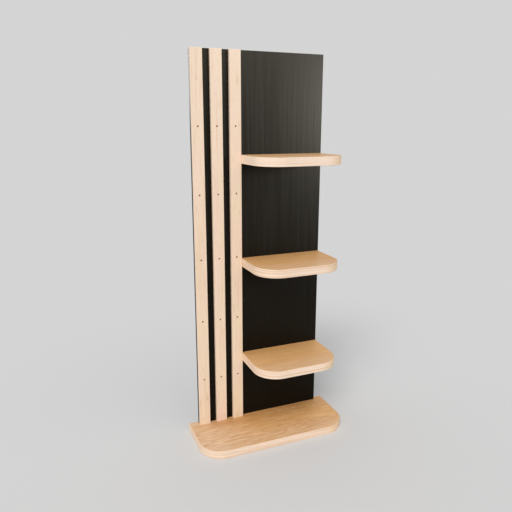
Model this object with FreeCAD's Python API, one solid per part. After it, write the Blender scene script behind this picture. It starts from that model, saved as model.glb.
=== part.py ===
import FreeCAD, Part
import os

# Spine bookshelf: a tall back panel on a rounded base board. Upright slats run up the left of its front,
# and shelves with rounded front corners stand out from the right of it.
# Origin on the floor under the middle of the base board, +X to the right, -Y to the front, +Z up.

# Back panel
panel_width = 657.0
panel_height = 1800.0
panel_thickness = 20.0
panel_edge_round = 1.0

# Base board
base_thickness = 40.0
base_overhang = 49.0

# Rounded front corners, glued edge bands and eased edges that the base and the shelves share
front_corner_radius = 112.0
band_thickness = 2.0
board_edge_round = 1.5

# Slats, from the left
slat_names = ("left", "middle", "right")
slat_width = 54.0
slat_thickness = 16.0
slat_gap = 35.0
slat_edge_round = 1.5

# Shelves, from the lowest
shelf_names = ("bottom", "middle", "top")
shelf_depth = 276.0
shelf_thickness = 40.0
lowest_shelf_height = 353.0
space_above_top_shelf = 458.0
shelf_slat_clearance = 0.2

# Countersunk screws: every head is sunk a little below the face it is driven through
screw_head_sink = 0.3
screw_head_rim = 0.4
screw_clearance = 0.1
screw_tip_share = 1.4

# Screws through the slats into the panel
slat_screw_head = 8.0
slat_screw_shank = 4.0
slat_screw_count = 5
slat_screw_foot_margin = 245.5
slat_screw_top_margin = 329.0
slat_screw_bite_share = 0.7

# Screws through the panel into the back edges of the shelves
shelf_screw_head = 10.0
shelf_screw_shank = 5.0
shelf_screw_bite = 50.0
shelf_screw_place_shares = (0.14, 0.5, 0.86)

# Screws through the base into the panel's bottom edge
base_screw_head = 10.0
base_screw_shank = 5.0
base_screw_bite = 50.0
base_screw_place_shares = (0.06, 0.36, 0.64, 0.94)

# Dowels that stop the shelves and the panel turning on their screws
dowel_diameter = 8.0
dowel_chamfer = 1.0
dowel_clearance = 0.1
dowel_end_gap = 0.8
shelf_dowel_depth = 28.0
shelf_dowel_panel_share = 0.6
shelf_dowel_place_shares = (0.32, 0.68)
base_dowel_depth = 24.0
base_dowel_panel_depth = 36.0
base_dowel_place_shares = (0.2, 0.5, 0.8)

# How far a cutter starts outside the face that it enters, and how near two places are to count as one
cut_overrun = 4.0
same_place = 0.001

# Places worked out from the sizes above
base_width = panel_width + 2 * base_overhang
base_depth = panel_thickness + shelf_depth
front_y = -base_depth / 2
back_y = base_depth / 2
panel_front_y = back_y - panel_thickness
panel_middle_y = back_y - panel_thickness / 2
slat_front_y = panel_front_y - slat_thickness
panel_left_x = -panel_width / 2
panel_right_x = panel_width / 2
panel_foot_z = base_thickness
panel_top_z = base_thickness + panel_height
slat_pitch = slat_width + slat_gap
slats_right_x = panel_left_x + (len(slat_names) - 1) * slat_pitch + slat_width
shelf_left_x = slats_right_x + shelf_slat_clearance
shelf_width = panel_right_x - shelf_left_x
shelf_pitch = (panel_height - lowest_shelf_height - space_above_top_shelf) / (len(shelf_names) - 1)
slat_screw_run = panel_height - slat_screw_foot_margin - slat_screw_top_margin
slat_screw_pitch = slat_screw_run / (slat_screw_count - 1)

to_front = FreeCAD.Vector(0, -1, 0)
to_back = FreeCAD.Vector(0, 1, 0)
to_floor = FreeCAD.Vector(0, 0, -1)
upward = FreeCAD.Vector(0, 0, 1)


def same(a, b):
    return abs(a - b) < same_place


def is_upright(edge):
    return edge.BoundBox.ZLength > same_place


def faces_along(edge, y):
    """True where the whole edge lies in the upright plane at y."""
    return same(edge.BoundBox.YMin, y) and same(edge.BoundBox.YMax, y)


def block(left_x, right_x, near_y, far_y, foot_z, top_z):
    corner = FreeCAD.Vector(left_x, near_y, foot_z)
    return Part.makeBox(right_x - left_x, far_y - near_y, top_z - foot_z, corner)


def turned(profile):
    """Solid turned about Z from (radius, height) points that start and end on the axis."""
    points = [FreeCAD.Vector(radius, 0, height) for radius, height in profile]
    outline = Part.makePolygon(points + points[:1])
    return Part.Face(outline).revolve(FreeCAD.Vector(), upward, 360)


def placed(solid, place, direction):
    """Copy of a solid made along +Z, moved to a place and pointed along a direction."""
    turn = FreeCAD.Rotation(upward, direction)
    return solid.transformed(FreeCAD.Placement(place, turn).toMatrix(), True)


def screw(head, shank, length):
    """Countersunk screw with its head up. The face that it is driven through is at height zero."""
    rim_z = -screw_head_sink - screw_head_rim
    neck_z = rim_z - (head - shank) / 2
    tip_z = -length
    return turned(
        [
            (0, -screw_head_sink),
            (head / 2, -screw_head_sink),
            (head / 2, rim_z),
            (shank / 2, neck_z),
            (shank / 2, tip_z + shank * screw_tip_share),
            (0, tip_z),
        ]
    )


def screw_cutter(head, shank, length):
    """The hole for such a screw: its own outline with clearance all round and an open mouth."""
    rim_z = -screw_head_sink - screw_head_rim
    neck_z = rim_z - (head - shank) / 2
    head_radius = head / 2 + screw_clearance
    shank_radius = shank / 2 + screw_clearance
    tip_z = -length - screw_clearance
    return turned(
        [
            (0, cut_overrun),
            (head_radius, cut_overrun),
            (head_radius, rim_z),
            (shank_radius, neck_z),
            (shank_radius, tip_z + shank * screw_tip_share),
            (0, tip_z),
        ]
    )


def dowel(below, above):
    """Chamfered dowel that reaches below and above the joint at height zero."""
    radius = dowel_diameter / 2
    return turned(
        [
            (0, -below),
            (radius - dowel_chamfer, -below),
            (radius, -below + dowel_chamfer),
            (radius, above - dowel_chamfer),
            (radius - dowel_chamfer, above),
            (0, above),
        ]
    )


def dowel_cutter(below, above):
    """The pair of holes for such a dowel, each a little deeper than the dowel reaches."""
    radius = dowel_diameter / 2 + dowel_clearance
    foot = FreeCAD.Vector(0, 0, -below - dowel_end_gap)
    return Part.makeCylinder(radius, below + above + 2 * dowel_end_gap, foot)


def rounded_block(left_x, right_x, near_y, far_y, foot_z, top_z, corner_radius):
    """Block with a square back and rounded front corners."""
    board = block(left_x, right_x, near_y, far_y, foot_z, top_z)
    corners = [e for e in board.Edges if is_upright(e) and faces_along(e, near_y)]
    return board.makeFillet(corner_radius, corners)


def rounded_board(left_x, right_x, far_y, foot_z, top_z):
    """Whole board as it is seen, with eased edges along its sides and front."""
    board = rounded_block(left_x, right_x, front_y, far_y, foot_z, top_z, front_corner_radius)
    open_edges = [e for e in board.Edges if not is_upright(e) and not faces_along(e, far_y)]
    return board.makeFillet(board_edge_round, open_edges)


def band_inside(left_x, right_x, far_y, foot_z, top_z):
    """Cutter that runs along the inner face of the edge band and past the board's other faces."""
    return rounded_block(
        left_x + band_thickness,
        right_x - band_thickness,
        front_y + band_thickness,
        far_y + cut_overrun,
        foot_z - cut_overrun,
        top_z + cut_overrun,
        front_corner_radius - band_thickness,
    )


def back_band_cutter(left_x, right_x, foot_z, top_z):
    """Cutter for the straight band along the back, which covers the ends of the band round the front."""
    return block(
        left_x - cut_overrun,
        right_x + cut_overrun,
        back_y - band_thickness,
        back_y + cut_overrun,
        foot_z - cut_overrun,
        top_z + cut_overrun,
    )


def split(board, cutter):
    """The piece of a board inside a cutter, and the piece outside it."""
    return board.common(cutter), board.cut(cutter)


def panel_blank():
    """Panel with its upright and top edges eased. Its foot stays square on the base."""
    board = block(panel_left_x, panel_right_x, panel_front_y, back_y, panel_foot_z, panel_top_z)
    eased = [e for e in board.Edges if not same(e.BoundBox.ZMax, panel_foot_z)]
    return board.makeFillet(panel_edge_round, eased)


def slat_left_x(index):
    return panel_left_x + index * slat_pitch


def slat_blank(index):
    """Slat with its front and top edges eased. Its back lies flat on the panel."""
    left_x = slat_left_x(index)
    board = block(left_x, left_x + slat_width, slat_front_y, panel_front_y, panel_foot_z, panel_top_z)
    eased = [
        e
        for e in board.Edges
        if not same(e.BoundBox.ZMax, panel_foot_z) and not faces_along(e, panel_front_y)
    ]
    return board.makeFillet(slat_edge_round, eased)


def slat_screw_places(index):
    middle_x = slat_left_x(index) + slat_width / 2
    first_z = panel_foot_z + slat_screw_foot_margin
    heights = [first_z + k * slat_screw_pitch for k in range(slat_screw_count)]
    return [FreeCAD.Vector(middle_x, slat_front_y, z) for z in heights]


def shelf_top_z(index):
    return base_thickness + lowest_shelf_height + index * shelf_pitch


def shelf_places(index, shares, y):
    middle_z = shelf_top_z(index) - shelf_thickness / 2
    return [FreeCAD.Vector(shelf_left_x + share * shelf_width, y, middle_z) for share in shares]


def base_places(shares, z):
    return [FreeCAD.Vector(panel_left_x + share * panel_width, panel_middle_y, z) for share in shares]


def repeated(solid, places, direction):
    return [placed(solid, place, direction) for place in places]


def bored(board, cutters):
    return board.cut(Part.makeCompound(cutters))


def fit_slats(nodes, panel_cutters):
    """Adds the slats with their screws, and the holes that these need in the panel."""
    length = slat_thickness + slat_screw_bite_share * panel_thickness
    sizes = (slat_screw_head, slat_screw_shank, length)
    for index, name in enumerate(slat_names):
        places = slat_screw_places(index)
        cutters = repeated(screw_cutter(*sizes), places, to_front)
        nodes[name + "_slat"] = bored(slat_blank(index), cutters)
        nodes[name + "_slat_screws"] = Part.makeCompound(repeated(screw(*sizes), places, to_front))
        panel_cutters += cutters


def fit_shelves(nodes, panel_cutters):
    """Adds the shelves with their bands, screws and dowels, and the holes that these need in the panel."""
    screw_sizes = (shelf_screw_head, shelf_screw_shank, panel_thickness + shelf_screw_bite)
    dowel_sizes = (shelf_dowel_depth, shelf_dowel_panel_share * panel_thickness)
    for index, name in enumerate(shelf_names):
        screw_places = shelf_places(index, shelf_screw_place_shares, back_y)
        dowel_places = shelf_places(index, shelf_dowel_place_shares, panel_front_y)
        cutters = repeated(screw_cutter(*screw_sizes), screw_places, to_back)
        cutters += repeated(dowel_cutter(*dowel_sizes), dowel_places, to_back)
        top_z = shelf_top_z(index)
        foot_z = top_z - shelf_thickness
        outline = (shelf_left_x, panel_right_x, panel_front_y, foot_z, top_z)
        core, band = split(rounded_board(*outline), band_inside(*outline))
        nodes[name + "_shelf"] = bored(core, cutters)
        nodes[name + "_shelf_edge_band"] = band
        screws = repeated(screw(*screw_sizes), screw_places, to_back)
        nodes[name + "_shelf_screws"] = Part.makeCompound(screws)
        dowels = repeated(dowel(*dowel_sizes), dowel_places, to_back)
        nodes[name + "_shelf_dowels"] = Part.makeCompound(dowels)
        panel_cutters += cutters


def fit_base(nodes, panel_cutters):
    """Adds the base with its bands, screws and dowels, and the holes that these need in the panel."""
    screw_sizes = (base_screw_head, base_screw_shank, base_thickness + base_screw_bite)
    dowel_sizes = (base_dowel_depth, base_dowel_panel_depth)
    screw_places = base_places(base_screw_place_shares, 0)
    dowel_places = base_places(base_dowel_place_shares, base_thickness)
    cutters = repeated(screw_cutter(*screw_sizes), screw_places, to_floor)
    cutters += repeated(dowel_cutter(*dowel_sizes), dowel_places, upward)
    left_x = -base_width / 2
    right_x = base_width / 2
    outline = (left_x, right_x, back_y, 0, base_thickness)
    back_band, board = split(rounded_board(*outline), back_band_cutter(left_x, right_x, 0, base_thickness))
    core, band = split(board, band_inside(*outline))
    nodes["base_board"] = bored(core, cutters)
    nodes["base_edge_band"] = band
    nodes["base_back_band"] = back_band
    nodes["base_screws"] = Part.makeCompound(repeated(screw(*screw_sizes), screw_places, to_floor))
    nodes["base_dowels"] = Part.makeCompound(repeated(dowel(*dowel_sizes), dowel_places, upward))
    panel_cutters += cutters


def bookshelf():
    """All the pieces by name. The panel comes last, because every other group is fixed to it."""
    nodes = {}
    panel_cutters = []
    fit_slats(nodes, panel_cutters)
    fit_shelves(nodes, panel_cutters)
    fit_base(nodes, panel_cutters)
    nodes["back_panel"] = bored(panel_blank(), panel_cutters)
    return nodes


os.makedirs("parts", exist_ok=True)
for node_name, shape in bookshelf().items():
    shape.exportStep(os.path.join("parts", node_name + ".step"))
    print(node_name, len(shape.Solids), "solids", round(shape.Volume), "mm3", shape.isValid())
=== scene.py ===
import math

import bmesh
import bpy
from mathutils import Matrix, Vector


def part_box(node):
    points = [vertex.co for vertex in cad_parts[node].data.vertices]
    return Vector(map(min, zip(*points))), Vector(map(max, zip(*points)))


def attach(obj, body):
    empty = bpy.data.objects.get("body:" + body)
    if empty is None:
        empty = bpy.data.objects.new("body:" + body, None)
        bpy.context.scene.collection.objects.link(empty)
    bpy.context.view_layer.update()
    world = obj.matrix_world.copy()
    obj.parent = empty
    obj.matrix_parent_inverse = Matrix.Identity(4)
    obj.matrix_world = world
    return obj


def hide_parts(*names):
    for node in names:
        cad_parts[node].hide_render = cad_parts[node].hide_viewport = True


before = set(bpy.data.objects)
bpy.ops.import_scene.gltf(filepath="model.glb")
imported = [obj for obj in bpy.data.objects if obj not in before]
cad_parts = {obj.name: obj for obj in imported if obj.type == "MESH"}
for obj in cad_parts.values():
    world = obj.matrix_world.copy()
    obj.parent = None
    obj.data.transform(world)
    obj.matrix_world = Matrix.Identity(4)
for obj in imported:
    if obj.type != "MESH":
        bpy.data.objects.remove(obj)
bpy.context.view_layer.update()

# Camera at the photograph's viewing angle: metres, degrees and millimetres of lens
CAMERA_PLACE = (-0.977, -2.211, 1.515)
CAMERA_HEADING = 22.31
CAMERA_DIP = 13.89
CAMERA_LENS = 37.17
CAMERA_SENSOR = 36.0

# Stage: the floor fades into the backdrop between two distances from its middle
WHITE = (1.0, 1.0, 1.0, 1.0)
BACKDROP_GREY = (0.66, 0.66, 0.66, 1.0)
FLOOR_GREY = (0.65, 0.65, 0.65, 1.0)
FLOOR_RADIUS = 40.0
FLOOR_SIDES = 96
FLOOR_FADE = (0.9, 2.6)
FLOOR_ROUGHNESS = 0.9
FLOOR_SPECULAR = 0.1
ROOM_LIGHT = 0.64

# Key light, wide and even: degrees above the floor, degrees left of the front, degrees across and strength
KEY_RISE = 42.0
KEY_LEFT = 38.0
KEY_WIDTH = 30.0
KEY_STRENGTH = 1.75

# Cards that only reflections in some pieces show: the endings of those pieces' names, then the card's
# place, the point that it faces, its width, its height and its power in watts
SHEEN_CARDS = {
    "right_sheen_card": ("_panel", (2.95, -2.6, 1.77), (0.2, 0.1, 1.4), 0.7, 0.8, 405.0),
    "upper_sheen_card": (("_slat", "_panel"), (1.4, -2.9, 3.2), (0.0, 0.1, 1.5), 2.0, 1.2, 160.0),
    "rear_sheen_card": ("_panel", (0.0, 4.4, 2.6), (0.0, 0.1, 0.9), 9.0, 2.0, 270.0),
}

# Each finish has colours, the two ends of its roughness, its relief in metres and its specular level.
# Pale wood of the slats
SLAT_ROSY = (0.903, 0.680, 0.538, 1.0)
SLAT_CREAMY = (0.883, 0.706, 0.504, 1.0)
# Painted light that makes the slats lighter high up
SLAT_PAINTED_LIGHT = (0.92, 0.745, 0.60, 1.0)
SLAT_LINE = (0.80, 0.57, 0.40, 1.0)
SLAT_FIBRE = (0.76, 0.53, 0.36, 1.0)
SLAT_FLECK = (0.58, 0.36, 0.22, 1.0)
SLAT_MARK = (0.66, 0.43, 0.27, 1.0)
# Paler arrises, partly wear and partly a painted highlight
SLAT_ARRIS = (0.93, 0.79, 0.64, 1.0)
SLAT_ROUGHNESS = (0.42, 0.55)
SLAT_RELIEF = 0.00015
SLAT_SPECULAR = 0.17

# Pale wood of the edge bands, and the face veneer that laps over them
BAND_DEEP = (0.81, 0.59, 0.42, 1.0)
BAND_PALE = (0.94, 0.735, 0.575, 1.0)
# Painted light on the bands of the top shelf
BAND_PAINTED_LIGHT = (0.96, 0.78, 0.635, 1.0)
# Golden painted shade at the bands' right ends
BAND_PAINTED_SHADE = (0.95, 0.66, 0.345, 1.0)
BAND_LINE = (0.76, 0.53, 0.36, 1.0)
BAND_FIBRE = (0.78, 0.55, 0.38, 1.0)
BAND_FLECK = (0.60, 0.38, 0.24, 1.0)
# Painted highlight along the eased rounds of the bands
BAND_PAINTED_HIGHLIGHT = (0.95, 0.80, 0.64, 1.0)
LAP_TAN = (0.745, 0.43, 0.178, 1.0)
# Painted sheen on the lapping veneer towards the left
LAP_PAINTED_SHEEN = (0.775, 0.545, 0.375, 1.0)
BAND_ROUGHNESS = (0.42, 0.55)
BAND_RELIEF = 0.00015
BAND_SPECULAR = 0.3

# Tan veneer of the base and the shelves, with the radians that its growth lines run through and the metres
# by which its bands shift the edge of its painted sheen at the left
TAN_LIGHT = (0.785, 0.458, 0.197, 1.0)
TAN_DEEP = (0.745, 0.420, 0.165, 1.0)
# Painted sheen: paler veneer to the left, to the front and on the top shelf
TAN_PAINTED_SHEEN = (0.805, 0.575, 0.405, 1.0)
# Painted shade: deeper veneer near the panel under a shelf and at the upper shelves' right ends
TAN_PAINTED_SHADE = (0.48, 0.215, 0.05, 1.0)
TAN_LINE = (0.66, 0.355, 0.13, 1.0)
TAN_PALE_STROKE = (0.93, 0.64, 0.38, 1.0)
TAN_DARK_STROKE = (0.54, 0.27, 0.095, 1.0)
TAN_GROWTH = (0.56, 0.285, 0.105, 1.0)
TAN_FIBRE = (0.60, 0.31, 0.115, 1.0)
TAN_FLECK = (0.36, 0.17, 0.06, 1.0)
TAN_ROUGHNESS = (0.36, 0.48)
TAN_RELIEF = 0.00012
TAN_SPECULAR = 0.2
GROWTH_PHASE = 50.0
PAINTED_SHEEN_SHIFT = 0.12

# Black stain of the panel
STAIN_DARK = (0.0056, 0.0042, 0.0024, 1.0)
STAIN_LESS_DARK = (0.0066, 0.0049, 0.0029, 1.0)
STAIN_LINE = (0.0076, 0.0057, 0.0035, 1.0)
STAIN_PORE = (0.0026, 0.0019, 0.0012, 1.0)
# Paler arrises of the panel, partly wear and partly a painted highlight
STAIN_ARRIS = (0.030, 0.024, 0.018, 1.0)
STAIN_SHEEN = (1.0, 0.93, 0.78, 1.0)
STAIN_ROUGHNESS = (0.395, 0.33)
STAIN_RELIEF = 0.0004
STAIN_SPECULAR = 0.086
PORE_SHARE = 0.03

# Screws' lacquers, dark and light, and dowels
BROWN_LACQUER = (0.19, 0.060, 0.009, 1.0), (0.28, 0.095, 0.018, 1.0)
BLACK_LACQUER = (0.022, 0.019, 0.016, 1.0), (0.040, 0.036, 0.032, 1.0)
LACQUER_ROUGHNESS = (0.48, 0.62)
LACQUER_RELIEF = 0.00003
LACQUER_SPECULAR = 0.12
DOWEL_PALE = (0.80, 0.61, 0.43, 1.0)
DOWEL_DARK = (0.66, 0.46, 0.29, 1.0)
DOWEL_GRAIN = (1.0, 0.1, 0.1)
DOWEL_ROUGHNESS = (0.55, 0.72)
DOWEL_RELIEF = 0.0001
DOWEL_SPECULAR = 0.4

# Parts of a noise's range over which fibres and flecks come up and the gloss changes, and how much the
# fibres show in the colour and in the relief
FIBRE_RANGE = (0.45, 0.8)
FLECK_RANGE = (0.66, 0.74)
GLOSS_RANGE = (0.3, 0.75)
FIBRE_SHARE = 0.3
FIBRE_RELIEF = 0.5

# Largest part of the normal along one axis where a board's flat face ends, and where its arris is round
ARRIS_RANGE = (0.985, 0.88)

# Heights between the boards, in metres, over which a finish changes from one board to the next
ABOVE_BASE = (0.1, 0.3)
ABOVE_BOTTOM_SHELF = (0.5, 0.8)
ABOVE_MIDDLE_SHELF = (1.0, 1.3)

# Screws: the height of the head's rim, and shares of the head's, the shank's or the core's radius, of the
# pitch or of the length
SCREW_RIM = 0.0004
SHANK_SHARE = 0.5
CORE_SHARE = 0.68
HEAD_EASE_SHARE = 0.05
PLAIN_NECK_SHARE = 0.18
TIP_SHARE = 2.8
POINT_SHARE = 0.08
PITCH_SHARE = 0.95
RIDGE_ROOT_SHARE = 0.62
RIDGE_FOOT_SHARE = 0.62
RIDGE_CREST_SHARE = 0.2
TRIM_SHARE = 1.02
RECESS_ARM_SHARE = 0.62
RECESS_WIDTH_SHARE = 0.13
RECESS_DEPTH_SHARE = 0.5
RECESS_TAPER_SHARE = 0.4
SCREW_SIDES = 32
HEAD_EASE_STEPS = 3
THREAD_STEPS = 20
RIDGE_CORNERS = 4

# Dowels: sides, every other one of them a flute, and shares of the radius
DOWEL_SIDES = 36
DOWEL_CHAMFER_SHARE = 0.25
FLUTE_DEPTH_SHARE = 0.08
FLUTE_MARGIN_SHARE = 0.03

# Where the fasteners of a row stand between its first and its last
SLAT_SCREW_SHARES = (0.0, 0.25, 0.5, 0.75, 1.0)
SHELF_SCREW_SHARES = (0.0, 0.5, 1.0)
BASE_SCREW_SHARES = (0.0, 0.341, 0.659, 1.0)
SHELF_DOWEL_SHARES = (0.0, 1.0)
BASE_DOWEL_SHARES = (0.0, 0.5, 1.0)

# Turns about X that point a fastener's head to the front, the back, the floor or up
TO_FRONT = 0.5 * math.pi
TO_BACK = -0.5 * math.pi
TO_FLOOR = math.pi
UPWARD = 0.0

# Where a fastener's own origin lies in its hole: at one of the ends, as a screw's head does, or midway
LOW_END = -1.0
MIDWAY = 0.0
HIGH_END = 1.0

# How far a normal points up or down on level and on upright faces, and metres apart that count as one place
LEVEL_LIMIT = 0.9
UPRIGHT_LIMIT = 0.1
SAME_PLACE = 1e-6

AXES = range(3)
CENTRE = (0.0, 0.0, 0.0)
UNSTRETCHED = (1.0, 1.0, 1.0)
SMOOTH_ANGLE = math.radians(35.0)


class Finish:
    """A material under construction. Most calls add nodes and return the socket that these give."""

    def __init__(self, name):
        self.material = bpy.data.materials.new(name)
        self.material.use_nodes = True
        self.tree = self.material.node_tree
        self.surface = self.tree.nodes["Principled BSDF"]

    def node(self, kind, **settings):
        made = self.tree.nodes.new(kind)
        for name, value in settings.items():
            setattr(made, name, value)
        return made

    def feed(self, socket, value):
        """Links another socket, or sets a plain number or colour."""
        if isinstance(value, bpy.types.NodeSocket):
            self.tree.links.new(value, socket)
        else:
            socket.default_value = value

    def place(self, stretch):
        """Object coordinates in metres, multiplied along each axis."""
        coordinates = self.node("ShaderNodeTexCoord").outputs["Object"]
        mapping = self.node("ShaderNodeMapping", vector_type="POINT")
        self.feed(mapping.inputs["Vector"], coordinates)
        mapping.inputs["Scale"].default_value = stretch
        return mapping.outputs["Vector"]

    def along(self, axis):
        """Object coordinate along one axis, in metres."""
        parts = self.node("ShaderNodeSeparateXYZ")
        self.feed(parts.inputs["Vector"], self.place(UNSTRETCHED))
        return parts.outputs[axis]

    def noise(self, stretch, scale, detail=2.0, roughness=0.5, distortion=0.0):
        """Noise from 0 to 1. Where it isn't stretched, its scale is about the marks in a metre."""
        made = self.node("ShaderNodeTexNoise")
        self.feed(made.inputs["Vector"], self.place(stretch))
        made.inputs["Scale"].default_value = scale
        made.inputs["Detail"].default_value = detail
        made.inputs["Roughness"].default_value = roughness
        made.inputs["Distortion"].default_value = distortion
        return made.outputs["Fac"]

    def between(self, value, low, high, give_low, give_high):
        """Value taken smoothly from one range to another, and held at the ends."""
        made = self.node("ShaderNodeMapRange", interpolation_type="SMOOTHSTEP")
        self.feed(made.inputs["Value"], value)
        made.inputs["From Min"].default_value = low
        made.inputs["From Max"].default_value = high
        made.inputs["To Min"].default_value = give_low
        made.inputs["To Max"].default_value = give_high
        return made.outputs["Result"]

    def share(self, value, none_at, most_at, most=1.0):
        """Share of a layer: none where the value is at one end of a range, and the most at the other."""
        return self.between(value, none_at, most_at, 0.0, most)

    def math(self, operation, a, b=0.0):
        made = self.node("ShaderNodeMath", operation=operation)
        self.feed(made.inputs[0], a)
        self.feed(made.inputs[1], b)
        return made.outputs["Value"]

    def times(self, first, *others):
        """Product of sockets and plain numbers."""
        product = first
        for other in others:
            product = self.math("MULTIPLY", product, other)
        return product

    def mix(self, factor, a, b):
        made = self.node("ShaderNodeMix", data_type="RGBA")
        self.feed(made.inputs["Factor"], factor)
        self.feed(made.inputs["A"], a)
        self.feed(made.inputs["B"], b)
        return made.outputs["Result"]

    def layered(self, ground, *layers):
        """Ground colour with layers over it, each a share and a colour."""
        colour = ground
        for share, tone in layers:
            colour = self.mix(share, colour, tone)
        return colour

    def rise(self):
        """0 on upright faces, 1 on level ones, and in between on the rounds that join them."""
        parts = self.node("ShaderNodeSeparateXYZ")
        self.feed(parts.inputs["Vector"], self.node("ShaderNodeNewGeometry").outputs["Normal"])
        return self.math("ABSOLUTE", parts.outputs["Z"])

    def worn_and_highlit_arris(self):
        """1 on the rounds along the arrises of a square-edged board, 0 on its flat faces."""
        facing = self.node("ShaderNodeVectorMath", operation="ABSOLUTE")
        self.feed(facing.inputs[0], self.node("ShaderNodeNewGeometry").outputs["Normal"])
        parts = self.node("ShaderNodeSeparateXYZ")
        self.feed(parts.inputs["Vector"], facing.outputs["Vector"])
        squarest = self.math("MAXIMUM", parts.outputs["X"], parts.outputs["Y"])
        squarest = self.math("MAXIMUM", squarest, parts.outputs["Z"])
        return self.share(squarest, *ARRIS_RANGE)

    def bump(self, height, distance):
        made = self.node("ShaderNodeBump")
        self.feed(made.inputs["Height"], height)
        made.inputs["Distance"].default_value = distance
        return made.outputs["Normal"]

    def done(self, colour, roughness, normal, specular):
        """Links what varies to the surface, sets what is the same all over, and returns the material."""
        self.feed(self.surface.inputs["Base Color"], colour)
        self.feed(self.surface.inputs["Roughness"], roughness)
        self.feed(self.surface.inputs["Normal"], normal)
        self.surface.inputs["Specular IOR Level"].default_value = specular
        return self.material


def grain_up(squeeze):
    """Stretch of a pattern that is drawn out up the piece."""
    return (1.0, 1.0, squeeze)


def grain_across(squeeze):
    """Stretch of a pattern that is drawn out across the width of the bookshelf."""
    return (squeeze, 1.0, 1.0)


def grain_round(squeeze):
    """Stretch of a pattern that is drawn out round the edge of a level board."""
    return (squeeze, squeeze, 1.0)


def fleck_noise(finish, stretch, scale):
    """1 on short sparse flecks, 0 between them."""
    return finish.share(finish.noise(stretch, scale, detail=1.0), *FLECK_RANGE)


def fibre_share(finish, fibres):
    """Share of the fibres' colour."""
    return finish.share(fibres, *FIBRE_RANGE, most=FIBRE_SHARE)


def satin_wood(finish, colour, lines, fibres, flecks, roughness, depth, specular):
    """Ends a wood finish: gloss that follows the lines, raised fibres and sunk flecks."""
    gloss = finish.between(lines, *GLOSS_RANGE, *roughness)
    relief = finish.math("SUBTRACT", finish.times(fibres, FIBRE_RELIEF), flecks)
    return finish.done(colour, gloss, finish.bump(relief, depth), specular)


def pale_slat_wood():
    """Pale close-grained wood with the grain up the slat: painted light high up, and arrises paled by wear
    and a painted highlight.
    """
    finish = Finish("pale_slat_wood")
    bands = finish.noise(grain_up(0.14), 34.0, distortion=0.4)
    lines = finish.noise(grain_up(0.03), 100.0, detail=3.0, roughness=0.6, distortion=0.5)
    marks = finish.noise(grain_up(0.12), 70.0)
    fibres = finish.noise(grain_up(0.02), 620.0)
    flecks = fleck_noise(finish, grain_up(0.04), 900.0)
    colour = finish.layered(
        SLAT_ROSY,
        (finish.share(bands, 0.35, 0.65), SLAT_CREAMY),
        # painted light: lighter high up the slats
        (finish.share(finish.along("Z"), 0.8, 1.7, most=0.5), SLAT_PAINTED_LIGHT),
        (finish.share(lines, 0.48, 0.72, most=0.7), SLAT_LINE),
        (fibre_share(finish, fibres), SLAT_FIBRE),
        (finish.times(flecks, 0.4), SLAT_FLECK),
        (finish.share(marks, 0.62, 0.74, most=0.45), SLAT_MARK),
        # paler arrises: wear and a painted highlight
        (finish.times(finish.worn_and_highlit_arris(), 0.6), SLAT_ARRIS),
    )
    return satin_wood(finish, colour, lines, fibres, flecks, SLAT_ROUGHNESS, SLAT_RELIEF, SLAT_SPECULAR)


def pale_edge_band():
    """Pale band with its grain round the edge: a painted highlight where it is eased, painted light on the
    top shelf and a golden painted shade at the right ends.
    The tan veneer of the board's faces laps over its top and bottom, with a painted sheen on the lap
    towards the left."""
    finish = Finish("pale_edge_band")
    bands = finish.noise(grain_round(0.012), 140.0, distortion=0.1)
    lines = finish.noise(grain_round(0.010), 330.0, detail=3.0, roughness=0.6, distortion=0.1)
    fibres = finish.noise(grain_round(0.02), 900.0)
    flecks = fleck_noise(finish, grain_round(0.05), 900.0)
    across = finish.along("X")
    height = finish.along("Z")
    rise = finish.rise()
    # painted shade at the right ends
    painted_shade_right_end = finish.share(across, 0.2, 0.33, most=0.85)
    # painted sheen at the left end of the lap
    painted_sheen_left_end = finish.share(across, 0.0, -0.3, most=0.8)
    colour = finish.layered(
        BAND_DEEP,
        (finish.share(bands, 0.42, 0.58), BAND_PALE),
        # painted light on the top shelf
        (finish.share(height, *ABOVE_MIDDLE_SHELF, most=0.75), BAND_PAINTED_LIGHT),
        # golden painted shade at the right ends
        (finish.times(painted_shade_right_end, finish.between(height, *ABOVE_BASE, 0.7, 1.0)), BAND_PAINTED_SHADE),
        (finish.share(lines, 0.52, 0.66, most=0.8), BAND_LINE),
        (fibre_share(finish, fibres), BAND_FIBRE),
        (finish.times(flecks, 0.4), BAND_FLECK),
        # painted highlight on the eased rounds
        (finish.share(rise, 0.05, 0.3, most=0.8), BAND_PAINTED_HIGHLIGHT),
        # lapping veneer, with a painted sheen towards the left
        (finish.share(rise, 0.55, 0.75), finish.mix(painted_sheen_left_end, LAP_TAN, LAP_PAINTED_SHEEN)),
    )
    return satin_wood(finish, colour, lines, fibres, flecks, BAND_ROUGHNESS, BAND_RELIEF, BAND_SPECULAR)


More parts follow.
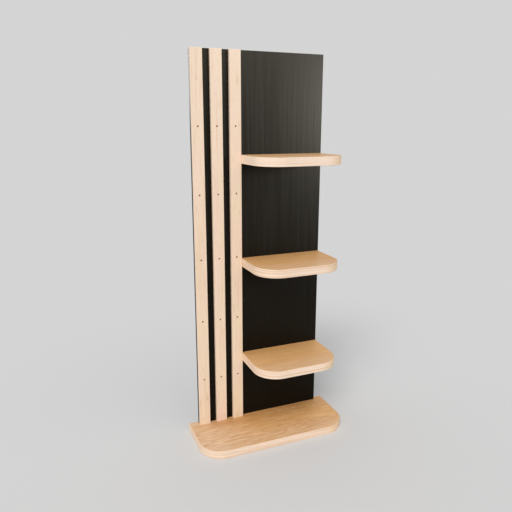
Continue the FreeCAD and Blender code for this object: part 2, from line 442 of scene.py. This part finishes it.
def tan_board_veneer():
    """Tan veneer with its grain across the boards: growth lines and short strokes, most on the base.
    A painted sheen makes it paler to the left, to the front and on the open top shelf, and painted shade
    makes it deeper near the panel under another shelf and at the right ends of the upper shelves."""
    finish = Finish("tan_board_veneer")
    bands = finish.noise(grain_across(0.06), 26.0, distortion=0.3)
    lines = finish.noise(grain_across(0.05), 150.0, detail=3.0, roughness=0.6, distortion=0.2)
    strokes = finish.noise(grain_across(0.075), 140.0)
    contours = finish.noise(grain_across(0.11), 34.0, detail=1.5)
    growth = finish.math("SINE", finish.times(contours, GROWTH_PHASE))
    fibres = finish.noise(grain_across(0.02), 800.0)
    flecks = fleck_noise(finish, grain_across(0.09), 800.0)
    across = finish.along("X")
    depth = finish.along("Y")
    height = finish.along("Z")
    # painted sheen to the left, to the front and on the open top shelf
    shifted = finish.math("ADD", across, finish.times(bands, PAINTED_SHEEN_SHIFT))
    left = finish.share(shifted, 0.05, -0.26, most=0.8)
    front = finish.share(depth, 0.0, -0.13, most=0.5)
    painted_sheen_top_shelf = finish.share(height, *ABOVE_MIDDLE_SHELF, most=0.22)
    # painted shade near the panel under another shelf
    painted_shade_near_panel = finish.times(
        finish.share(depth, -0.03, 0.13),
        finish.between(finish.math("ABSOLUTE", across), 0.22, 0.33, 1.0, 0.0),
        finish.between(height, *ABOVE_BASE, 0.68, 0.37),
        finish.between(height, *ABOVE_MIDDLE_SHELF, 1.0, 0.0),
    )
    # painted shade at the right ends of the upper shelves
    painted_shade_right_end = finish.times(
        finish.share(across, 0.15, 0.3, most=0.26), finish.share(height, *ABOVE_BOTTOM_SHELF)
    )
    figure = finish.between(height, *ABOVE_BASE, 1.0, 0.4)
    colour = finish.layered(
        TAN_LIGHT,
        (finish.share(bands, 0.35, 0.65), TAN_DEEP),
        # painted sheen to the left, to the front and on the top shelf
        (left, TAN_PAINTED_SHEEN),
        (front, TAN_PAINTED_SHEEN),
        (painted_sheen_top_shelf, TAN_PAINTED_SHEEN),
        # painted shade near the panel and at the right ends
        (finish.math("MAXIMUM", painted_shade_near_panel, painted_shade_right_end), TAN_PAINTED_SHADE),
        (finish.share(lines, 0.48, 0.75, most=0.5), TAN_LINE),
        (finish.times(finish.share(strokes, 0.46, 0.36, most=0.4), figure), TAN_PALE_STROKE),
        (finish.times(finish.share(strokes, 0.54, 0.64, most=0.3), figure), TAN_DARK_STROKE),
        (finish.times(finish.share(growth, 0.2, 0.95, most=0.46), figure), TAN_GROWTH),
        (fibre_share(finish, fibres), TAN_FIBRE),
        (finish.times(flecks, 0.5), TAN_FLECK),
    )
    return satin_wood(finish, colour, lines, fibres, flecks, TAN_ROUGHNESS, TAN_RELIEF, TAN_SPECULAR)


def black_panel_stain():
    """Black stain over open upright grain: a warm satin sheen that streaks and pores break up."""
    finish = Finish("black_panel_stain")
    bands = finish.noise(grain_up(0.02), 75.0)
    lines = finish.noise(grain_up(0.016), 130.0, roughness=0.6)
    pores = finish.share(finish.noise(grain_up(0.05), 700.0, detail=1.0), 0.60, 0.70)
    colour = finish.layered(
        STAIN_DARK,
        (finish.share(bands, 0.3, 0.7), STAIN_LESS_DARK),
        (finish.share(lines, 0.5, 0.75, most=0.6), STAIN_LINE),
        (pores, STAIN_PORE),
        # paler arrises: wear and a painted highlight
        (finish.times(finish.worn_and_highlit_arris(), 0.5), STAIN_ARRIS),
    )
    streaks = finish.math("ADD", finish.times(bands, 0.5), finish.times(lines, 0.5))
    roughness = finish.between(streaks, 0.41, 0.59, *STAIN_ROUGHNESS)
    relief = finish.math("SUBTRACT", streaks, finish.times(pores, PORE_SHARE))
    finish.surface.inputs["Specular Tint"].default_value = STAIN_SHEEN
    return finish.done(colour, roughness, finish.bump(relief, STAIN_RELIEF), STAIN_SPECULAR)


def lacquered_steel(name, dark, light):
    """Steel under a thin coloured lacquer that is slightly uneven."""
    finish = Finish(name)
    mottle = finish.noise(UNSTRETCHED, 900.0, detail=3.0)
    colour = finish.layered(dark, (finish.share(mottle, 0.35, 0.7), light))
    roughness = finish.between(mottle, 0.3, 0.7, *LACQUER_ROUGHNESS)
    return finish.done(colour, roughness, finish.bump(mottle, LACQUER_RELIEF), LACQUER_SPECULAR)


def dowel_beech():
    """Plain turned wood with fine fibres."""
    finish = Finish("dowel_beech")
    fibres = finish.noise(DOWEL_GRAIN, 900.0, detail=3.0)
    colour = finish.layered(DOWEL_PALE, (finish.share(fibres, 0.35, 0.7), DOWEL_DARK))
    roughness = finish.between(fibres, 0.3, 0.7, *DOWEL_ROUGHNESS)
    return finish.done(colour, roughness, finish.bump(fibres, DOWEL_RELIEF), DOWEL_SPECULAR)


def start_piece(name):
    """Takes the primitive just added, puts its place into its mesh and opens it in edit mode."""
    piece = bpy.context.object
    piece.name = name
    bpy.ops.object.transform_apply(location=True, rotation=True, scale=True)
    bpy.ops.object.mode_set(mode="EDIT")
    return piece


def pick(piece, kind, wanted):
    """Selects in edit mode only the faces, edges or points that the test picks out."""
    bpy.ops.mesh.select_mode(type=kind)
    bpy.ops.mesh.select_all(action="DESELECT")
    mesh = bmesh.from_edit_mesh(piece.data)
    for item in {"FACE": mesh.faces, "EDGE": mesh.edges, "VERT": mesh.verts}[kind]:
        item.select_set(wanted(item))
    bmesh.update_edit_mesh(piece.data)


def looks_down(face):
    return face.normal.z < -LEVEL_LIMIT


def looks_sideways(face):
    return abs(face.normal.z) < UPRIGHT_LIMIT


def draw_down(drop, narrow=1.0):
    """Extrudes the selected face down and narrows its new outline about the axis."""
    bpy.ops.mesh.extrude_region_move(TRANSFORM_OT_translate={"value": (0.0, 0.0, -drop)})
    bpy.ops.transform.resize(value=(narrow, narrow, 1.0), center_override=CENTRE)


def combine(piece, other, operation):
    """Applies a Boolean of a piece with another, which is used up."""
    bpy.context.view_layer.objects.active = piece
    step = piece.modifiers.new(operation.lower(), "BOOLEAN")
    step.operation = operation
    step.solver = "EXACT"
    step.object = other
    bpy.ops.object.modifier_apply(modifier=step.name)
    bpy.data.objects.remove(other)


def cross_punch(head):
    """Cross that narrows downwards, to punch the driver's recess into a screw's head."""
    half_width = RECESS_WIDTH_SHARE * head
    depth = RECESS_DEPTH_SHARE * head
    bpy.ops.mesh.primitive_cube_add(size=2.0)
    bpy.context.object.scale = (half_width, half_width, depth)
    punch = start_piece("cross_punch")
    pick(punch, "FACE", looks_sideways)
    reach = {"value": RECESS_ARM_SHARE * head - half_width}
    bpy.ops.mesh.extrude_faces_move(TRANSFORM_OT_shrink_fatten=reach)
    pick(punch, "VERT", lambda point: point.co.z < 0.0)
    taper = (RECESS_TAPER_SHARE, RECESS_TAPER_SHARE, 1.0)
    bpy.ops.transform.resize(value=taper, center_override=CENTRE)
    bpy.ops.object.mode_set(mode="OBJECT")
    return punch


def thread_ridge(core, crest, top, pitch, turns):
    """Ridge that winds down round a screw's core, from a profile with a wide foot and a narrow crest."""
    root = RIDGE_ROOT_SHARE * core
    middle = 0.5 * (root + crest)
    on_edge = (0.5 * math.pi, 0.0, 0.0)
    bpy.ops.mesh.primitive_plane_add(size=1.0, location=(middle, 0.0, top), rotation=on_edge)
    bpy.context.object.scale = (crest - root, RIDGE_FOOT_SHARE * pitch, 1.0)
    ridge = start_piece("thread_ridge")
    pick(ridge, "VERT", lambda point: point.co.x > middle)
    bpy.ops.transform.resize(value=(1.0, 1.0, RIDGE_CREST_SHARE), center_override=(crest, 0.0, top))
    bpy.ops.mesh.select_all(action="SELECT")
    bpy.ops.mesh.delete(type="ONLY_FACE")
    bpy.ops.object.mode_set(mode="OBJECT")
    wind = ridge.modifiers.new("wind", "SCREW")
    wind.screw_offset = -pitch
    wind.iterations = turns
    wind.steps = THREAD_STEPS
    wind.render_steps = THREAD_STEPS
    bpy.ops.object.modifier_apply(modifier="wind")
    bpy.ops.object.mode_set(mode="EDIT")
    bpy.ops.mesh.select_all(action="SELECT")
    bpy.ops.mesh.fill_holes(sides=RIDGE_CORNERS)
    bpy.ops.mesh.normals_make_consistent(inside=False)
    bpy.ops.object.mode_set(mode="OBJECT")
    return ridge


def pointed_rod(name, radius, top, tip_top, end):
    """Round rod with a point, for the outline that a screw's thread is trimmed to."""
    middle = 0.5 * (top + tip_top)
    bpy.ops.mesh.primitive_cylinder_add(
        vertices=SCREW_SIDES, radius=radius, depth=top - tip_top, location=(0.0, 0.0, middle)
    )
    rod = start_piece(name)
    pick(rod, "FACE", looks_down)
    draw_down(tip_top - end, POINT_SHARE)
    bpy.ops.object.mode_set(mode="OBJECT")
    return rod


def threaded_screw(name, head, length):
    """Countersunk wood screw, head up: eased rim, cross recess, plain neck, wound thread and a point."""
    shank = SHANK_SHARE * head
    core = CORE_SHARE * shank
    neck = PLAIN_NECK_SHARE * length
    tip = TIP_SHARE * shank
    thread_top = -(SCREW_RIM + (head - shank) + neck)
    bpy.ops.mesh.primitive_cylinder_add(
        vertices=SCREW_SIDES, radius=head, depth=SCREW_RIM, location=(0.0, 0.0, -0.5 * SCREW_RIM)
    )
    screw = start_piece(name)
    pick(screw, "FACE", looks_down)
    draw_down(head - shank, shank / head)
    draw_down(neck)
    draw_down(shank - core, core / shank)
    draw_down(length + thread_top - (shank - core) - tip)
    draw_down(tip, POINT_SHARE)
    pick(screw, "EDGE", lambda edge: all(point.co.z > -SAME_PLACE for point in edge.verts))
    bpy.ops.mesh.bevel(offset=HEAD_EASE_SHARE * head, segments=HEAD_EASE_STEPS, affect="EDGES")
    bpy.ops.object.mode_set(mode="OBJECT")
    combine(screw, cross_punch(head), "DIFFERENCE")
    pitch = PITCH_SHARE * shank
    turns = math.ceil((length + thread_top) / pitch)
    ridge = thread_ridge(core, shank, thread_top, pitch, turns)
    outline = pointed_rod("thread_outline", TRIM_SHARE * shank, thread_top + pitch, tip - length, -length)
    combine(ridge, outline, "INTERSECT")
    combine(screw, ridge, "UNION")
    return screw


def fluted_dowel(name, radius, length):
    """Dowel with chamfered ends and glue flutes along its sides."""
    bpy.ops.mesh.primitive_cylinder_add(vertices=DOWEL_SIDES, radius=radius, depth=length)
    dowel = start_piece(name)
    pick(dowel, "EDGE", lambda edge: abs(edge.verts[0].co.z - edge.verts[1].co.z) < SAME_PLACE)
    bpy.ops.mesh.bevel(offset=DOWEL_CHAMFER_SHARE * radius, segments=1, affect="EDGES")
    step = 2.0 * math.pi / DOWEL_SIDES

    def in_flute(face):
        middle = face.calc_center_median()
        side = math.floor(math.atan2(middle.y, middle.x) / step)
        return looks_sideways(face) and side % 2 == 0

    pick(dowel, "FACE", in_flute)
    margin = FLUTE_MARGIN_SHARE * radius
    bpy.ops.mesh.inset(thickness=margin, depth=-FLUTE_DEPTH_SHARE * radius, use_individual=True)
    bpy.ops.object.mode_set(mode="OBJECT")
    return dowel


def row_sizes(node):
    """Radius of the fasteners in a row, their length, and the axes that they and the row run along."""
    low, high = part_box(node)
    extents = [high[axis] - low[axis] for axis in AXES]
    across, along, run = sorted(AXES, key=lambda axis: extents[axis])
    return 0.5 * extents[across], extents[along], along, run


def fit_row(pattern, node, name, seat, turn, shares, material):
    """Puts copies of a fastener where a row of plain ones is, as one piece that stands for the row."""
    low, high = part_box(node)
    radius, length, along, run = row_sizes(node)
    copies = []
    for share in shares:
        place = [0.5 * (low[axis] + high[axis]) for axis in AXES]
        place[along] += seat * 0.5 * length
        place[run] = low[run] + radius + share * (high[run] - low[run] - 2.0 * radius)
        copy = pattern.copy()
        copy.data = pattern.data.copy()
        bpy.context.scene.collection.objects.link(copy)
        copy.location = place
        copy.rotation_euler = (turn, 0.0, 0.0)
        copies.append(copy)
    bpy.ops.object.select_all(action="DESELECT")
    for copy in copies:
        copy.select_set(True)
    row = copies[0]
    bpy.context.view_layer.objects.active = row
    bpy.ops.object.join()
    bpy.ops.object.transform_apply(location=True, rotation=True, scale=True)
    bpy.ops.object.shade_smooth_by_angle(angle=SMOOTH_ANGLE)
    row.name = name
    row.data.name = name
    row.data.materials.append(material)
    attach(row, "root")
    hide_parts(node)


def fit_screws(nodes, seat, turn, shares, material):
    """Models the screw that these rows share and fits it in each of them."""
    head, length = row_sizes(nodes[0])[:2]
    pattern = threaded_screw("screw_pattern", head, length)
    for node in nodes:
        name = node.replace("screws", "threaded_screws")
        fit_row(pattern, node, name, seat, turn, shares, material)
    bpy.data.objects.remove(pattern)


def fit_dowels(nodes, turn, shares, material):
    """Models the dowel that these rows share and fits it in each of them."""
    radius, length = row_sizes(nodes[0])[:2]
    pattern = fluted_dowel("dowel_pattern", radius, length)
    for node in nodes:
        name = node.replace("dowels", "fluted_dowels")
        fit_row(pattern, node, name, MIDWAY, turn, shares, material)
    bpy.data.objects.remove(pattern)


def studio_floor():
    """Pale floor that takes the object's shadow, and fades into the backdrop further out."""
    bpy.ops.mesh.primitive_circle_add(vertices=FLOOR_SIDES, radius=FLOOR_RADIUS, fill_type="NGON")
    disc = bpy.context.object
    disc.name = "studio_floor"
    finish = Finish("studio_floor")
    distance = finish.node("ShaderNodeVectorMath", operation="LENGTH")
    finish.feed(distance.inputs[0], finish.place(UNSTRETCHED))
    fade = finish.share(distance.outputs["Value"], *FLOOR_FADE)
    path = finish.node("ShaderNodeLightPath")
    seen = finish.math("MAXIMUM", path.outputs["Is Camera Ray"], path.outputs["Is Glossy Ray"])
    finish.surface.inputs["Base Color"].default_value = FLOOR_GREY
    finish.surface.inputs["Roughness"].default_value = FLOOR_ROUGHNESS
    finish.surface.inputs["Specular IOR Level"].default_value = FLOOR_SPECULAR
    glow = finish.node("ShaderNodeEmission")
    glow.inputs["Color"].default_value = BACKDROP_GREY
    blend = finish.node("ShaderNodeMixShader")
    finish.feed(blend.inputs["Fac"], finish.times(fade, seen))
    finish.feed(blend.inputs[1], finish.surface.outputs["BSDF"])
    finish.feed(blend.inputs[2], glow.outputs["Emission"])
    finish.feed(finish.tree.nodes["Material Output"].inputs["Surface"], blend.outputs["Shader"])
    disc.data.materials.append(finish.material)


def room_light():
    """World that lights the object evenly, and shows a pale backdrop to the camera and in reflections."""
    world = bpy.data.worlds.new("studio")
    world.use_nodes = True
    bpy.context.scene.world = world
    nodes = world.node_tree.nodes
    links = world.node_tree.links
    path = nodes.new("ShaderNodeLightPath")
    seen = nodes.new("ShaderNodeMath")
    seen.operation = "MAXIMUM"
    links.new(path.outputs["Is Camera Ray"], seen.inputs[0])
    links.new(path.outputs["Is Glossy Ray"], seen.inputs[1])
    ambient = nodes["Background"]
    ambient.inputs["Color"].default_value = WHITE
    ambient.inputs["Strength"].default_value = ROOM_LIGHT
    backdrop = nodes.new("ShaderNodeBackground")
    backdrop.inputs["Color"].default_value = BACKDROP_GREY
    blend = nodes.new("ShaderNodeMixShader")
    links.new(seen.outputs["Value"], blend.inputs["Fac"])
    links.new(ambient.outputs["Background"], blend.inputs[1])
    links.new(backdrop.outputs["Background"], blend.inputs[2])
    links.new(blend.outputs["Shader"], nodes["World Output"].inputs["Surface"])


def key_light():
    light = bpy.data.lights.new("key_light", "SUN")
    light.energy = KEY_STRENGTH
    light.angle = math.radians(KEY_WIDTH)
    lamp = bpy.data.objects.new("key_light", light)
    bpy.context.scene.collection.objects.link(lamp)
    lamp.rotation_euler = (math.radians(90.0 - KEY_RISE), 0.0, math.radians(-KEY_LEFT))


def sheen_card(takers, name, place, target, width, height, power):
    """Lit card that only the sheen of the takers shows."""
    light = bpy.data.lights.new(name, "AREA")
    light.shape = "RECTANGLE"
    light.size = width
    light.size_y = height
    light.energy = power
    lamp = bpy.data.objects.new(name, light)
    bpy.context.scene.collection.objects.link(lamp)
    lamp.location = place
    lamp.rotation_euler = (Vector(target) - Vector(place)).to_track_quat("-Z", "Y").to_euler()
    lamp.visible_camera = False
    lamp.visible_diffuse = False
    lamp.light_linking.receiver_collection = takers


def photo_camera():
    lens = bpy.data.cameras.new("photo_camera")
    lens.lens = CAMERA_LENS
    lens.sensor_width = CAMERA_SENSOR
    stand = bpy.data.objects.new("photo_camera", lens)
    bpy.context.scene.collection.objects.link(stand)
    stand.location = CAMERA_PLACE
    stand.rotation_euler = (math.radians(90.0 - CAMERA_DIP), 0.0, math.radians(-CAMERA_HEADING))
    bpy.context.scene.camera = stand


def pieces_ending(endings):
    """The CAD pieces whose names have one of these endings."""
    return [piece for node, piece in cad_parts.items() if node.endswith(endings)]


bpy.ops.object.select_all(action="DESELECT")
bpy.context.scene.view_settings.view_transform = "Standard"

board_finishes = {
    ("_slat",): pale_slat_wood(),
    ("_band",): pale_edge_band(),
    ("_shelf", "base_board"): tan_board_veneer(),
    ("back_panel",): black_panel_stain(),
}
for endings, material in board_finishes.items():
    for piece in pieces_ending(endings):
        piece.data.materials.clear()
        piece.data.materials.append(material)

brown_steel = lacquered_steel("brown_lacquered_steel", *BROWN_LACQUER)
black_steel = lacquered_steel("black_lacquered_steel", *BLACK_LACQUER)
beech = dowel_beech()
levels = ("bottom", "middle", "top")
slat_screws = [side + "_slat_screws" for side in ("left", "middle", "right")]
shelf_screws = [level + "_shelf_screws" for level in levels]
shelf_dowels = [level + "_shelf_dowels" for level in levels]
fit_screws(slat_screws, LOW_END, TO_FRONT, SLAT_SCREW_SHARES, brown_steel)
fit_screws(shelf_screws, HIGH_END, TO_BACK, SHELF_SCREW_SHARES, black_steel)
fit_screws(["base_screws"], LOW_END, TO_FLOOR, BASE_SCREW_SHARES, black_steel)
fit_dowels(shelf_dowels, TO_FRONT, SHELF_DOWEL_SHARES, beech)
fit_dowels(["base_dowels"], UPWARD, BASE_DOWEL_SHARES, beech)

studio_floor()
room_light()
key_light()
for name, (endings, *setting) in SHEEN_CARDS.items():
    takers = bpy.data.collections.new(name + "_takers")
    for piece in pieces_ending(endings):
        takers.objects.link(piece)
    sheen_card(takers, name, *setting)
photo_camera()
